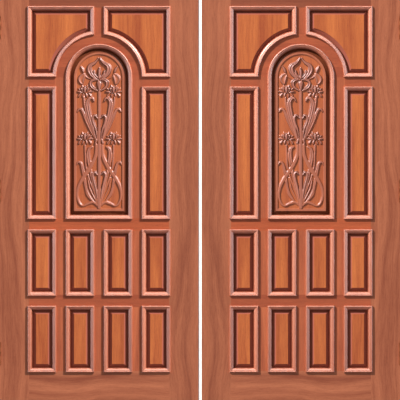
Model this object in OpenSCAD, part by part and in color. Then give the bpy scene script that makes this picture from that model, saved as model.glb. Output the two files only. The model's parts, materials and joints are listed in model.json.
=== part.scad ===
// A pair of carved entrance doors hung in a rabbeted timber frame, in millimetres, +Z up.
// Each leaf is a stile-and-rail door: grooved members, raised panels and mitred mouldings.
// The face seen from outside looks along -Y, and both leaves open towards it.
// The origin is on the floor, midway between the jambs, in the plane of the frame's front edge.

/* [Leaf] */
// Width of one leaf
leaf_w = 914; // [860:1:1040]
// Height of one leaf
leaf_h = 2032; // [1990:1:2200]
// Thickness of the stiles and rails
leaf_t = 44; // [40:0.5:54]
// Clear gap between the meeting edges of the two leaves
meeting_gap = 15; // [12:0.5:20]
// Clear gap between a leaf and its jamb, and between a leaf and the head
leaf_gap = 3; // [2:0.5:4]

/* [Stiles and rails] */
// Face width of each stile, as far as the panel mouldings
stile_w = 128; // [110:1:140]
// Face width of the top rail
top_rail_w = 128; // [100:1:150]
// Face width of the bottom rail
bottom_rail_w = 218; // [180:1:240]
// Face width of the mullions, the short rails and the arch
bar_w = 42; // [36:1:56]
// Face width of the rail under the carved panel
mid_rail_w = 45; // [36:1:60]
// Face width of the rail between the two lower rows of panels
cross_rail_w = 43; // [36:1:60]
// Height of the panels in the two lower rows
lower_panel_h = 308; // [270:1:325]
// Height of the corner panels, from the springing of the arch to the top rail
corner_h = 328; // [290:1:400]
// Width of the groove that holds the panels and the tenons
groove_w = 16; // [12:0.5:18]
// Depth of that groove
groove_d = 12; // [10:0.5:14]
// Clearance between a panel's edge and the bottom of its groove
panel_play = 2; // [1:0.5:3]
// Clearance between a tenon's end and the bottom of its groove
tenon_play = 1; // [0.5:0.5:2]
// Clearance on each cheek of a tongue, a tenon or a dowel
joint_fit = 0.2; // [0.1:0.05:0.4]
// Diameter of the dowels through the rail joints
dowel_d = 12; // [8:1:14]
// Length of those dowels
dowel_l = 110; // [70:5:130]
// Length of the dowels that hold the arch on the upper mullions
arch_dowel_l = 70; // [50:5:90]

/* [Panels and mouldings] */
// Width of the moulding round each panel
moulding_w = 22; // [18:0.5:26]
// Height of the moulding above the face of the stiles
moulding_proud = 9.5; // [8:0.5:12]
// Overlap of the moulding on the stiles and rails
moulding_lap = 7; // [5:0.5:9]
// Radius of the bead along the moulding's outer edge
bead_r = 4.5; // [3.5:0.25:5.5]
// Radius of the large round between the bead and the panel
ovolo_r = 15; // [13:0.5:16]
// Step from the top of the bead down to the large round
quirk_h = 1.5; // [0.5:0.25:2.5]
// Overhang of the bead and of the large round past the straight edges under them
undercut = 0.5; // [0.25:0.25:1]
// Glue line at each end of the moulding that is bent round the arch
glue_gap = 0.1; // [0.05:0.05:0.3]
// Width of the bevel round a raised panel
bevel_w = 17; // [10:1:22]
// Depth of a panel's raised field below the face of the stiles
field_set = 1.5; // [0.5:0.5:4]
// Height of the square shoulder round that field
shoulder_h = 1.5; // [0.5:0.25:3]

/* [Carving] */
// Width of the plain rim round the carved ground
rim_w = 8; // [5:1:12]
// Depth of the carved ground below the rim
ground_set = 4; // [2:0.5:6]
// Height of the highest carving above its ground
relief_h = 10; // [6:0.5:12]

/* [Frame] */
// Thickness of the jambs and the head at the rabbet
jamb_t = 19; // [17:0.5:30]
// Depth of the frame from front to back
jamb_d = 116; // [100:1:150]
// Height of the stop that a leaf closes against
stop_h = 12.5; // [11:0.5:18]
// Gap between the back of a leaf and its stop
seal_gap = 6; // [5:0.5:8]
// Width of the slot that holds a seal
kerf_w = 3; // [2.5:0.25:4]
// Depth of that slot
kerf_d = 10; // [7:0.5:12]
// Distance of that slot from the rabbet
kerf_set = 4; // [3:0.5:6]
// Clearance round a seal
seal_fit = 0.3; // [0.2:0.1:0.5]
// Depth of the housing that takes the head into each jamb
housing_d = 8; // [4:1:12]
// Chamfer along the front and back edges of the jambs and the head
ease = 1.5; // [0.5:0.5:3]
// Diameter of the holes for the wall fixings
fixing_d = 8; // [6:0.5:10]
// Height of the lowest wall fixing
fixing_low = 200; // [150:10:300]
// Distance of the highest wall fixing below the head
fixing_high = 219; // [150:1:300]

/* [Sill] */
// Height of the timber sill under the threshold
sill_h = 20; // [16:1:30]
// Reach of the sill in front of the frame
sill_reach = 30; // [20:1:50]
// Height of the sill's front edge
sill_edge = 8; // [5:1:12]
// Thickness of the metal threshold plate
threshold_t = 4; // [3:0.5:6]
// Distance of the threshold's back edge from the back of the frame
threshold_set = 14; // [8:1:20]
// Thickness of the threshold's upstand behind the leaves
upstand_t = 14; // [13:0.5:18]
// Overlap of that upstand on the back of the leaves
upstand_lap = 12; // [10:1:18]
// Clear height between the threshold plate and a leaf
bottom_gap = 10; // [7:0.5:14]
// Clear height between the threshold plate and a sweep
sweep_gap = 1.5; // [1:0.25:3]
// Thickness of a sweep's base and fins
sweep_t = 2.5; // [2:0.25:4]
// Distance of a sweep from each face of its leaf
sweep_set = 6; // [4:1:10]

/* [Astragal] */
// Distance of the white closing strip from each face of its leaf
astragal_set = 3; // [2:0.5:6]
// Radius of the seal bulb on that strip
bulb_r = 1.5; // [1.25:0.05:1.8]
// Clear gap between the bulb and the other leaf
bulb_gap = 0.7; // [0.5:0.1:1.5]
// Distance of the bulb from the front of the strip
bulb_set = 8; // [6:0.5:12]
// Depth of the slot that holds the seal
astragal_slot_d = 5; // [3:0.5:6]
// Width of that slot
astragal_slot_w = 2.4; // [2:0.1:3]

/* [Hinges] */
// Height of a hinge
hinge_h = 102; // [89:1:127]
// Distance of the top hinge from the top of a leaf
hinge_top = 178; // [150:1:220]
// Distance of the bottom hinge from the bottom of a leaf
hinge_bottom = 254; // [200:1:300]
// Thickness of a hinge plate
plate_t = 3; // [2.5:0.1:4]
// Width of a hinge plate on the wood
plate_w = 34; // [28:1:38]
// Radius of a hinge barrel
barrel_r = 7; // [6:0.25:8]
// Diameter of a hinge pin
pin_d = 7; // [5:0.25:8]
// Distance of a hinge pin in front of a leaf's face
pin_set = 9; // [8.5:0.5:12]
// Running clearance round a hinge pin
pin_fit = 0.05; // [0.02:0.01:0.1]
// Gap between neighbouring knuckles
knuckle_gap = 0.4; // [0.3:0.1:0.8]
// Height of the button on each end of a hinge pin
button_h = 4; // [3:0.5:6]
// Diameter of a hinge screw's shank
screw_d = 4.4; // [3.5:0.1:5]
// Diameter of a hinge screw's head
screw_head_d = 8; // [7:0.25:9]
// Height of a hinge screw's countersunk head
screw_head_h = 2.2; // [1.6:0.1:2.4]
// Length of a hinge screw in a leaf
leaf_screw_l = 30; // [20:1:40]
// Wood left behind the tip of a hinge screw in a jamb
screw_cover = 2; // [1:0.5:4]
// Distance of the outer hinge screws from the ends of a plate
screw_end = 13; // [10:0.5:18]
// Distance of the near screws from the face of the wood
screw_near = 11; // [9:0.5:14]
// Distance of the far screws from the face of the wood
screw_far = 23; // [20:0.5:25]
// Clearance round a hinge screw
screw_fit = 0.1; // [0.05:0.05:0.2]

/* [Hidden] */
$fn = 96;
CUT = 1;
stile_colour = [0.66, 0.39, 0.29];
rail_colour = [0.63, 0.33, 0.22];
panel_colour = [0.74, 0.43, 0.24];
moulding_colour = [0.60, 0.31, 0.20];
dowel_colour = [0.80, 0.66, 0.45];
metal_colour = [0.46, 0.40, 0.33];
sill_metal_colour = [0.62, 0.60, 0.57];
seal_colour = [0.25, 0.20, 0.17];
white_colour = [0.96, 0.96, 0.95];

// Columns and rows of panels, measured along the leaf from its hinge edge and its bottom
cell_w = (leaf_w - 2 * stile_w - 3 * bar_w) / 4;
cell_pitch = cell_w + bar_w;
row_low = bottom_rail_w;
row_high = row_low + lower_panel_h + cross_rail_w;
side_z = row_high + lower_panel_h + mid_rail_w;
crown_z = leaf_h - top_rail_w;
spring_z = crown_z - corner_h;
side_panel_h = spring_z - bar_w - side_z;
corner_w = leaf_w / 2 - bar_w / 2 - stile_w;
arch_in = cell_w + bar_w / 2;
arch_out = arch_in + bar_w;
carved_h = spring_z - side_z;
mid_x = leaf_w / 2;

// Levels across the thickness, measured from the middle of the leaf
face_h = leaf_t / 2;
land_h = groove_w / 2 - joint_fit;
field_h = face_h - field_set;
tongue_d = moulding_lap - groove_d + panel_play;
tenon_l = groove_d - tenon_play;
tenon_t = groove_w - 2 * joint_fit;
field_d = moulding_w + bevel_w;

// The carved ground, and the size that the ornament is drawn at
ground_r = arch_in - field_d - rim_w;
ground_low = field_d + rim_w - carved_h;
ground_h = field_h - ground_set;
drawn_r = 107;
drawn_low = -607;
relief_sink = 1;

// The frame round the leaves
leaf_z = sill_h + threshold_t + bottom_gap;
rabbet_x = meeting_gap / 2 + leaf_w + leaf_gap;
outer_x = rabbet_x + jamb_t;
stop_x = rabbet_x - stop_h;
rabbet_d = leaf_t + seal_gap;
head_z = leaf_z + leaf_h + leaf_gap;
head_top = head_z + jamb_t;
kerf_mid = kerf_set + kerf_w / 2;
seal_r = seal_gap / 2 - seal_fit;
plate_top = sill_h + threshold_t;
fixing_y = (rabbet_d + kerf_d + jamb_d) / 2;
fixing_count = 4;
fixing_pitch = (head_z - fixing_low - fixing_high) / (fixing_count - 1);
astragal_t = meeting_gap - 2 * bulb_r - seal_fit - bulb_gap;

// The hinges
knuckles = 5;
knuckle_h = (hinge_h - (knuckles - 1) * knuckle_gap) / knuckles;
jamb_knuckles = [0, 2, 4];
leaf_knuckles = [1, 3];
hinge_zs = [hinge_bottom, (hinge_bottom + leaf_h - hinge_top - hinge_h) / 2, leaf_h - hinge_top - hinge_h];
screw_count = 4;
screw_pitch = (hinge_h - 2 * screw_end) / (screw_count - 1);
jamb_screw_l = jamb_t - screw_cover;

LEAF_PIECES = [
    "hinge_stile", "meeting_stile", "top_rail", "mid_rail", "cross_rail", "bottom_rail",
    "arch_rail", "short_rails", "top_mullion", "upper_mullions", "lower_mullions",
    "corner_panels", "side_panels", "carved_panel", "lower_panels",
    "corner_mouldings", "side_mouldings", "arch_mouldings", "lower_mouldings",
    "dowels", "hinge_plates", "hinge_screws", "sweep"
];
FRAME_PIECES = [
    "left_jamb", "right_jamb", "head_jamb", "sill", "threshold",
    "left_seal", "right_seal", "head_seal", "threshold_seal",
    "jamb_hinge_plates", "hinge_pins", "jamb_hinge_screws",
    "astragal", "astragal_seal"
];

// Places a piece drawn along the left leaf, from its hinge edge, its front face and its bottom
module left() {
    translate([-meeting_gap / 2 - leaf_w, 0, leaf_z])
        children();
}

module right() {
    mirror([1, 0, 0])
        left()
            children();
}

module both_sides() {
    children();
    mirror([1, 0, 0])
        children();
}

// Stands a flat drawing up in the leaf: x stays, y becomes height and z points at the viewer
module upright(x, z) {
    translate([x, leaf_t / 2, z])
        rotate([90, 0, 0])
            children();
}

// Draws a section in y and z, and runs it along x
module along_x(from, to) {
    translate([from, 0, 0])
        rotate([90, 0, 90])
            linear_extrude(to - from)
                children();
}

module both_faces() {
    children();
    mirror([0, 0, 1])
        children();
}

function has(letter, word) = len(search(letter, word)) > 0;

// Members

// A board of the leaf between two corners, grooved on some edges and tenoned on some ends.
// Edges and ends are named by letters: l for left, r for right, b for bottom and t for top.
module board(from, to, grooves = "", tenons = "") {
    size = to - from;
    in_l = has("l", grooves) ? groove_d : 0;
    in_r = has("r", grooves) ? groove_d : 0;
    in_b = has("b", grooves) ? groove_d : 0;
    in_t = has("t", grooves) ? groove_d : 0;
    out_l = has("l", tenons) ? tenon_l : -in_l;
    out_r = has("r", tenons) ? tenon_l : -in_r;
    out_b = has("b", tenons) ? tenon_l : -in_b;
    out_t = has("t", tenons) ? tenon_l : -in_t;
    difference() {
        translate([from.x, 0, from.y])
            cube([size.x, leaf_t, size.y]);
        if (has("l", grooves)) groove([from.x - CUT, from.y - CUT], [from.x + groove_d, to.y + CUT]);
        if (has("r", grooves)) groove([to.x - groove_d, from.y - CUT], [to.x + CUT, to.y + CUT]);
        if (has("b", grooves)) groove([from.x - CUT, from.y - CUT], [to.x + CUT, from.y + groove_d]);
        if (has("t", grooves)) groove([from.x - CUT, to.y - groove_d], [to.x + CUT, to.y + CUT]);
    }
    if (len(tenons) > 0)
        translate([from.x - out_l, (leaf_t - tenon_t) / 2, from.y - out_b])
            cube([size.x + out_l + out_r, tenon_t, size.y + out_b + out_t]);
}

module groove(from, to) {
    translate([from.x, (leaf_t - groove_w) / 2, from.y])
        cube([to.x - from.x, groove_w, to.y - from.y]);
}

// Dowels of one leaf: the rails into both stiles, and the arch onto the upper mullions
module dowel_set(d) {
    stile_joint = stile_w + moulding_lap;
    rail_joints = [
        top_rail_w / 3, top_rail_w * 2 / 3,
        leaf_h - bottom_rail_w / 4, leaf_h - bottom_rail_w / 2, leaf_h - bottom_rail_w * 3 / 4,
        leaf_h - row_high + cross_rail_w / 2, leaf_h - side_z + mid_rail_w / 2
    ];
    for (x = [stile_joint, leaf_w - stile_joint], drop = rail_joints)
        translate([x - dowel_l / 2, leaf_t / 2, leaf_h - drop])
            rotate([0, 90, 0])
                cylinder(h = dowel_l, d = d);
    for (x = [mid_x - arch_in - bar_w / 2, mid_x + arch_in + bar_w / 2])
        translate([x, leaf_t / 2, spring_z - arch_dowel_l / 2])
            cylinder(h = arch_dowel_l, d = d);
}

module doweled() {
    difference() {
        children();
        dowel_set(dowel_d + 2 * joint_fit);
    }
}

module hinge_stile() {
    color(stile_colour)
        difference() {
            doweled()
                board([0, 0], [stile_w + moulding_lap, leaf_h], "r");
            for (z = hinge_zs) {
                translate([-CUT, -CUT, z])
                    cube([plate_t + CUT, plate_w + CUT, hinge_h]);
                hinge_frame(z)
                    plate_screws()
                        cylinder(h = leaf_screw_l + CUT, d = screw_d + 2 * screw_fit);
            }
        }
}

module meeting_stile() {
    color(stile_colour)
        doweled()
            board([leaf_w - stile_w - moulding_lap, 0], [leaf_w, leaf_h], "l");
}

// A rail across the leaf between its stiles
module rail(low, high, grooves) {
    color(rail_colour)
        doweled()
            board([stile_w + moulding_lap, low], [leaf_w - stile_w - moulding_lap, high], grooves, "lr");
}

module top_rail() {
    rail(crown_z - moulding_lap, leaf_h, "b");
}

module mid_rail() {
    rail(side_z - mid_rail_w - moulding_lap, side_z + moulding_lap, "bt");
}

module cross_rail() {
    rail(row_high - cross_rail_w - moulding_lap, row_high + moulding_lap, "bt");
}

module bottom_rail() {
    rail(0, bottom_rail_w + moulding_lap, "t");
}

// The half-round rail over the carved panel
module arch_rail() {
    color(rail_colour)
        doweled()
            upright(mid_x, spring_z)
                rotate_extrude(angle = 180)
                    arch_section();
}

module arch_section() {
    inner = arch_in - moulding_lap;
    outer = arch_out + moulding_lap;
    difference() {
        translate([inner, -leaf_t / 2])
            square([outer - inner, leaf_t]);
        translate([inner - CUT, -groove_w / 2])
            square([groove_d + CUT, groove_w]);
        translate([outer - groove_d, -groove_w / 2])
            square([groove_d + CUT, groove_w]);
    }
}

module short_rails() {
    low = spring_z - bar_w - moulding_lap;
    high = spring_z + moulding_lap;
    left_end = stile_w + moulding_lap;
    right_end = stile_w + cell_w - moulding_lap;
    color(rail_colour) {
        board([left_end, low], [right_end, high], "bt", "lr");
        board([leaf_w - right_end, low], [leaf_w - left_end, high], "bt", "lr");
    }
}

module upper_mullions() {
    color(stile_colour)
        doweled()
            for (x = [stile_w + cell_w, leaf_w - stile_w - cell_w - bar_w])
                board([x - moulding_lap, side_z + moulding_lap], [x + bar_w + moulding_lap, spring_z], "lr", "b");
}

module lower_mullions() {
    color(stile_colour)
        for (column = [1 : 3], row = [row_low, row_high])
            let (x = stile_w + column * cell_pitch)
                board([x - bar_w - moulding_lap, row + moulding_lap],
                      [x + moulding_lap, row + lower_panel_h - moulding_lap], "lr", "bt");
}

// The short mullion on top of the arch, coped to the arch and tenoned into its groove
module top_mullion() {
    half = bar_w / 2 + moulding_lap;
    low = spring_z + arch_in;
    high = crown_z - moulding_lap;
    outer = arch_out + moulding_lap;
    color(stile_colour) {
        difference() {
            board([mid_x - half, low], [mid_x + half, high], "lr", "t");
            upright(mid_x, spring_z)
                cylinder(h = 2 * leaf_t, r = outer + joint_fit, center = true);
        }
        difference() {
            translate([mid_x - half + groove_d, (leaf_t - tenon_t) / 2, low])
                cube([2 * (half - groove_d), tenon_t, high - low]);
            upright(mid_x, spring_z)
                cylinder(h = 2 * leaf_t, r = outer - tenon_l, center = true);
        }
    }
}

// Raised panels

// One edge of a panel: tongue, bevel and shoulder, as distance in from the moulding and height
panel_edge = [
    [tongue_d, land_h], [moulding_w, land_h], [field_d, field_h - shoulder_h], [field_d, field_h]
];

function flip(points) = [for (i = [len(points) - 1 : -1 : 0]) points[i]];

function far_edge(w) = [for (p = flip(panel_edge)) [w - p.x, p.y]];

function panel_section(w) =
    let (top = concat(panel_edge, far_edge(w)))
    concat(top, [for (p = flip(top)) [p.x, -p.y]]);

// A rectangular raised panel in an opening of this size, drawn from its lower left corner
module raised_panel(w, h) {
    intersection() {
        translate([0, h + groove_d, 0])
            rotate([90, 0, 0])
                linear_extrude(h + 2 * groove_d)
                    polygon(panel_section(w));
        along_x(-groove_d, w + groove_d)
            polygon(panel_section(h));
    }
}

module side_panels() {
    color(panel_colour)
        for (x = [stile_w, leaf_w - stile_w - cell_w])
            upright(x, side_z)
                raised_panel(cell_w, side_panel_h);
}

module lower_panels() {
    color(panel_colour)
        for (column = [0 : 3], row = [row_low, row_high])
            upright(stile_w + column * cell_pitch, row)
                raised_panel(cell_w, lower_panel_h);
}

// A corner panel is a rectangle whose lower inner corner is cut away round the arch
module corner_panel() {
    edge = [for (p = panel_edge) [arch_out + p.x, p.y]];
    reach = [field_d + arch_out, leaf_t];
    difference() {
        raised_panel(corner_w, corner_h);
        translate([corner_w + bar_w / 2, 0, 0])
            rotate_extrude()
                polygon(concat(
                    [[0, -reach.y], [reach.x, -reach.y]],
                    [for (p = flip(edge)) [p.x, -p.y]],
                    edge,
                    [reach, [0, reach.y]]
                ));
    }
}

module corner_panels() {
    color(panel_colour) {
        upright(stile_w, spring_z)
            corner_panel();
        upright(leaf_w - stile_w, spring_z)
            mirror([1, 0, 0])
                corner_panel();
    }
}

// Mouldings

// Section of the moulding: distance in from its outer edge, and height across the leaf
module moulding_section() {
    bead = [bead_r, face_h + moulding_proud - bead_r];
    ovolo = [moulding_w - ovolo_r, face_h + moulding_proud - quirk_h - ovolo_r];
    seat = moulding_lap + joint_fit;
    translate(bead)
        circle(bead_r);
    intersection() {
        translate(ovolo)
            circle(ovolo_r);
        polygon([
            [bead.x, face_h], [bead.x, face_h + moulding_proud],
            [moulding_w + CUT, face_h + moulding_proud], [moulding_w + CUT, ovolo.y],
            [seat, ovolo.y], [seat, face_h]
        ]);
    }
    polygon([
        [undercut, face_h], [undercut, bead.y], [bead.x + bead_r / 2, bead.y],
        [moulding_w - undercut, ovolo.y], [moulding_w - undercut, land_h],
        [seat, land_h], [seat, face_h]
    ]);
}

// A straight length of moulding along x, mitred at both ends.
// Each slope is the run of the mitre along x for each step in from the outer edge.
module stick(l, start_slope = 1, end_slope = 1) {
    reach = moulding_w + CUT;
    intersection() {
        along_x(-CUT, l + CUT)
            moulding_section();
        linear_extrude(leaf_t)
            polygon([
                [-CUT * start_slope, -CUT], [l + CUT * end_slope, -CUT],
                [l - reach * end_slope, reach], [reach * start_slope, reach]
            ]);
    }
}

// The mitred moulding round a rectangular opening, drawn from its lower left corner
module moulding_ring(w, h) {
    stick(w);
    translate([w, 0, 0]) rotate(90) stick(h);
    translate([w, h, 0]) rotate(180) stick(w);
    translate([0, h, 0]) rotate(270) stick(h);
}

module side_mouldings() {
    color(moulding_colour)
        for (x = [stile_w, leaf_w - stile_w - cell_w])
            upright(x, side_z)
                both_faces()
                    moulding_ring(cell_w, side_panel_h);
}

module lower_mouldings() {
    color(moulding_colour)
        for (column = [0 : 3], row = [row_low, row_high])
            upright(stile_w + column * cell_pitch, row)
                both_faces()
                    moulding_ring(cell_w, lower_panel_h);
}

// The five mitred lengths round a corner panel, one of them bent round the arch
module corner_ring() {
    half = bar_w / 2;
    rise = sqrt(arch_out * arch_out - half * half);
    shoulder = [corner_w, rise];
    foot = [cell_w, glue_gap];
    bend_end = shoulder - [glue_gap, 0];
    foot_mitre = [-1, 1];
    shoulder_mitre = [-rise, arch_out - half] / arch_out;
    reach = 2 * moulding_w;
    centre = [corner_w + half, 0];
    stick(cell_w);
    translate(shoulder) rotate(90) stick(corner_h - rise, (arch_out - half) / rise, 1);
    translate([corner_w, corner_h]) rotate(180) stick(corner_w);
    translate([0, corner_h]) rotate(270) stick(corner_h);
    intersection() {
        translate(centre)
            rotate(90)
                rotate_extrude(angle = 91)
                    translate([arch_out, 0])
                        moulding_section();
        linear_extrude(leaf_t)
            polygon([
                foot - CUT * foot_mitre, foot + reach * foot_mitre, [0, corner_h],
                bend_end + reach * shoulder_mitre, bend_end - CUT * shoulder_mitre, centre
            ]);
    }
}

module corner_mouldings() {
    color(moulding_colour) {
        upright(stile_w, spring_z)
            both_faces()
                corner_ring();
        upright(leaf_w - stile_w, spring_z)
            mirror([1, 0, 0])
                both_faces()
                    corner_ring();
    }
}

// The arched moulding round the carved panel, drawn from the centre of its arch
module arch_ring() {
    translate([-arch_in, -carved_h]) stick(2 * arch_in);
    translate([arch_in, -carved_h]) rotate(90) stick(carved_h, 1, 0);
    translate([-arch_in, 0]) rotate(270) stick(carved_h, 0, 1);
    rotate_extrude(angle = 180)
        translate([arch_in, 0])
            mirror([1, 0])
                moulding_section();
}

module arch_mouldings() {
    color(moulding_colour)
        upright(mid_x, spring_z)
            both_faces()
                arch_ring();
}

// The carved panel

// A point on the smooth curve through a list of points, at a place counted in points
function spline(points, place) =
    let (
        last = len(points) - 1,
        i = min(floor(place), last - 1),
        t = place - i,
        a = points[max(i - 1, 0)],
        b = points[i],
        c = points[i + 1],
        d = points[min(i + 2, last)]
    )
    b + t / 2 * (c - a + t * (2 * a - 5 * b + 4 * c - d + t * (3 * (b - c) + d - a)));

function direction(points, place) =
    let (
        step = 0.05,
        ahead = spline(points, min(place + step, len(points) - 1)),
        behind = spline(points, max(place - step, 0)),
        run = [ahead.x - behind.x, ahead.y - behind.y]
    )
    run / norm(run);

// Half sections of a carved stroke: share of its half width, and share of its height
crowned = [[1, 0], [0.6, 0.8], [0, 1]];
hollowed = [[1, 0], [0.7, 1], [0, 0.45]];
ridged = [[1, 0], [0, 1]];

// A carved stroke through points given as [x, y, width], standing on the ground at z = 0
module stroke(points, top, half = crowned, rings_per_point = 1) {
    section = concat(half, [for (i = [len(half) - 2 : -1 : 0]) [-half[i].x, half[i].y]]);
    sides = len(section);
    rings = (len(points) - 1) * rings_per_point;
    corners = [
        for (ring = [0 : rings])
            let (
                place = ring / rings_per_point,
                at = spline(points, place),
                run = direction(points, place),
                across = [run.y, -run.x] * at.z / 2
            )
            for (s = section)
                [at.x + across.x * s.x, at.y + across.y * s.x, s.y * (top + relief_sink) - relief_sink]
    ];
    walls = [
        for (ring = [0 : rings - 1], i = [0 : sides - 1])
            let (
                a = ring * sides + i,
                b = ring * sides + (i + 1) % sides
            )
            each [[a, b, b + sides], [a, b + sides, a + sides]]
    ];
    first_cap = [for (i = [sides - 1 : -1 : 0]) i];
    last_cap = [for (i = [0 : sides - 1]) rings * sides + i];
    polyhedron(corners, concat(walls, [first_cap, last_cap]));
}

// A rounded bud, knob or drop through points given as [x, y, radius]
module drop(points) {
    hull()
        for (p = points)
            translate([p.x, p.y, 0])
                scale([1, 1, relief_h / 2 / p.z])
                    sphere(p.z, $fn = 6);
}

// A flower with upright petals, two curling petals and a collar of small drops
module flower(at) {
    petal_l = 31;
    for (angle = [-52, -26, 0, 26, 52])
        let (way = [sin(angle), cos(angle), 0])
            stroke([
                concat_width(at + 3 * way, 7),
                concat_width(at + 0.55 * petal_l * way, 15),
                concat_width(at + petal_l * way, 3)
            ], relief_h * 0.75, ridged);
    for (side = [-1, 1])
        stroke([
            [at.x + side * 5, at.y - 6, 7], [at.x + side * 19, at.y - 10, 13],
            [at.x + side * 32, at.y - 3, 11], [at.x + side * 34, at.y + 8, 4]
        ], relief_h * 0.8, ridged);
    for (side = [-1, 0, 1])
        drop([[at.x + side * 13, at.y - 12, 5], [at.x + side * 16, at.y - 19 - 4 * (1 - abs(side)), 4]]);
}

function concat_width(point, width) = [point.x, point.y, width];

// One half of the ornament: an iris over two tiers of curling leaves and flowers
module half_ornament() {
    stroke([[4, 88, 6], [18, 69, 12], [40, 54, 20], [45, 36, 25], [37, 15, 20], [20, -4, 12], [4, -13, 6]],
           relief_h * 0.8, hollowed, 2);
    stroke([[24, 28, 3], [20, 14, 10], [12, 4, 10], [3, -5, 5]], relief_h * 0.8);
    stroke([[5, -12, 6], [25, -11, 10], [38, -22, 12], [35, -40, 12], [20, -54, 10], [5, -62, 5]],
           relief_h * 0.85);
    stroke([[3, -13, 5], [30, -10, 5], [52, -2, 5], [66, 10, 5], [72, 24, 5]], relief_h * 0.4, ridged);
    drop([[71, 24, 4], [76, 36, 7], [82, 48, 2]]);
    stroke([[66, 14, 4], [76, 4, 24], [82, -8, 30], [80, -22, 18], [74, -28, 5]], relief_h * 0.6, hollowed);
    flower([66, -66, 0]);
    stroke([[71, -90, 9], [68, -122, 10], [60, -162, 10], [50, -201, 10], [34, -238, 10], [16, -287, 9]],
           relief_h * 0.5, ridged);
    stroke([[22, -112, 6], [30, -97, 10], [45, -97, 14], [52, -115, 16], [50, -140, 16], [44, -175, 14],
            [34, -215, 10], [16, -280, 5]], relief_h * 0.7, hollowed);
    stroke([[101, -158, 6], [89, -147, 8], [76, -152, 10], [60, -196, 10], [42, -238, 9], [18, -285, 6]],
           relief_h * 0.6, ridged);
    stroke([[9, -188, 5], [17, -175, 7], [27, -183, 9], [26, -206, 10], [12, -241, 8], [8, -285, 5]],
           relief_h * 0.75, ridged);
    drop([[12, -288, 6], [17, -302, 5]]);
    flower([66, -284, 0]);
    stroke([[66, -317, 8], [64, -361, 9], [60, -416, 9], [43, -476, 8], [4, -582, 6]], relief_h * 0.45, ridged);
    stroke([[34, -322, 6], [48, -332, 10], [50, -355, 14], [47, -385, 15], [40, -430, 13], [25, -500, 10],
            [6, -580, 6]], relief_h * 0.6, hollowed);
    stroke([[104, -402, 5], [97, -391, 8], [84, -396, 10], [76, -423, 11], [72, -444, 11], [57, -522, 9],
            [25, -575, 6]], relief_h * 0.6, ridged);
    stroke([[10, -448, 5], [19, -436, 7], [28, -447, 9], [25, -470, 10], [13, -517, 9], [5, -575, 6]],
           relief_h * 0.75, ridged);
    stroke([[38, -435, 3], [34, -465, 8], [28, -494, 9], [6, -580, 5]], relief_h * 0.55, ridged);
    stroke([[54, -461, 3], [48, -490, 8], [41, -517, 9], [8, -582, 5]], relief_h * 0.55, ridged);
    stroke([[69, -496, 3], [62, -522, 8], [52, -547, 9], [14, -588, 5]], relief_h * 0.55, ridged);
    stroke([[13, -317, 14], [16, -359, 16], [34, -402, 17], [57, -438, 16], [80, -473, 14], [97, -511, 12],
            [100, -547, 11], [87, -582, 10], [72, -592, 10], [52, -582, 12], [27, -575, 14], [6, -591, 8]],
           relief_h * 0.9, crowned, 2);
}

// The whole ornament, drawn from the centre of the arch and stretched to its ground
module ornament() {
    stretch = [ground_r / drawn_r, (ground_r - ground_low) / (drawn_r - drawn_low), 1];
    translate([0, ground_low, ground_h])
        scale(stretch)
            translate([0, -drawn_low, 0]) {
                both_sides()
                    half_ornament();
                stroke([[0, 42, 2], [0, 25, 14], [0, 8, 14], [0, -6, 6]], relief_h * 0.95);
                stroke([[0, -56, 13], [0, -240, 15], [0, -420, 16], [0, -600, 17]], relief_h * 0.65);
                drop([[-6, -31, 8], [6, -31, 8], [0, -55, 5]]);
            }
}

// The panel before carving, drawn from the centre of its arch
module arched_panel() {
    radii = [for (p = panel_edge) [arch_in - p.x, p.y]];
    intersection() {
        translate([-arch_in, 0, 0])
            rotate([90, 0, 0])
                linear_extrude(carved_h + groove_d)
                    polygon(panel_section(2 * arch_in));
        translate([0, -carved_h, 0])
            along_x(-arch_in - groove_d, arch_in + groove_d)
                polygon(panel_section(2 * carved_h));
    }
    rotate_extrude(angle = 180)
        polygon(concat(
            [[0, -field_h]],
            [for (p = flip(radii)) [p.x, -p.y]],
            radii,
            [[0, field_h]]
        ));
}

module carved_ground() {
    circle(ground_r);
    translate([-ground_r, ground_low])
        square([2 * ground_r, -ground_low]);
}

module carved_panel() {
    $fn = 48;
    color(panel_colour)
        upright(mid_x, spring_z) {
            difference() {
                arched_panel();
                translate([0, 0, ground_h])
                    linear_extrude(leaf_t)
                        carved_ground();
            }
            ornament();
        }
}

module dowels() {
    color(dowel_colour)
        dowel_set(dowel_d);
}

// Hinges

// Moves the axis of one hinge of the left leaf to its place along the hinge edge
module hinge_frame(z) {
    translate([-leaf_gap / 2, -pin_set, z])
        children();
}

// The screw places of a plate on the leaf, each pointing into the wood from the plate's face
module plate_screws() {
    for (i = [0 : screw_count - 1])
        translate([leaf_gap / 2, pin_set + (i % 2 == 0 ? screw_near : screw_far), screw_end + i * screw_pitch])
            rotate([0, 90, 0])
                children();
}

module screw_shape(l, fit) {
    cylinder(h = screw_head_h, d1 = screw_head_d + 2 * fit, d2 = screw_d + 2 * fit);
    cylinder(h = l, d = screw_d + 2 * fit);
}

module knuckle_row(indices, r, extra) {
    for (i = indices)
        translate([0, 0, i * (knuckle_h + knuckle_gap) - extra])
            cylinder(h = knuckle_h + 2 * extra, r = r);
}

// One half of a hinge: its plate and its own knuckles, cut round the other half's knuckles
module hinge_half(own, other) {
    difference() {
        union() {
            translate([leaf_gap / 2, 0, 0])
                cube([plate_t, pin_set + plate_w, hinge_h]);
            knuckle_row(own, barrel_r, 0);
        }
        knuckle_row(other, barrel_r + knuckle_gap, knuckle_gap);
        translate([0, 0, -CUT])
            cylinder(h = hinge_h + 2 * CUT, d = pin_d + 2 * pin_fit);
        plate_screws()
            screw_shape(2 * plate_t, screw_fit);
    }
}

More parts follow.
